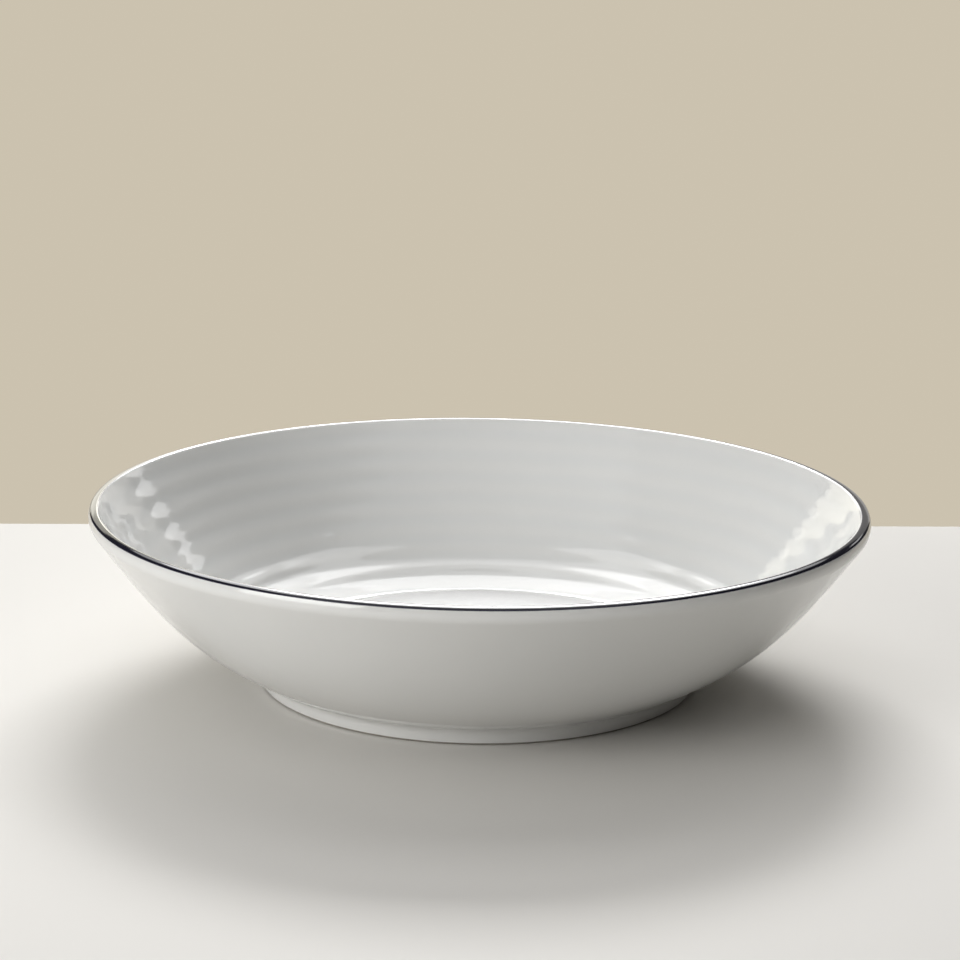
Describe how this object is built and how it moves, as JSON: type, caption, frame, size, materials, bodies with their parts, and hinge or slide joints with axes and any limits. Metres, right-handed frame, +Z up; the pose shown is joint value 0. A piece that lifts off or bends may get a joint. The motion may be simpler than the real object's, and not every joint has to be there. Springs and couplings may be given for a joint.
{
  "type": "serving bowl",
  "caption": "Low round serving bowl in white glazed porcelain: flared wall on a low foot ring, soft ribs round the inside and a dark band over the lip.",
  "frame": {"origin": "middle of the foot ring, on the table", "axes": "+Z up along the bowl's axis; the bowl is the same all round, and -Y is the side that the picture shows"},
  "size_m": [0.319, 0.319, 0.075],
  "materials": {
    "porcelain": "fired, under the glaze",
    "bare_porcelain": "fired and ground, unglazed at the table",
    "inside_white": "glossy clear glaze",
    "outside_white": "glossy clear glaze",
    "base_white": "glossy clear glaze",
    "band_enamel": "glossy blue-black"
  },
  "bodies": {
    "root": {"porcelain_body": "porcelain", "foot_ring": "bare_porcelain", "inside_glaze": "inside_white", "outside_glaze": "outside_white", "base_glaze": "base_white", "rim_band": "band_enamel"}
  },
  "joints": []
}
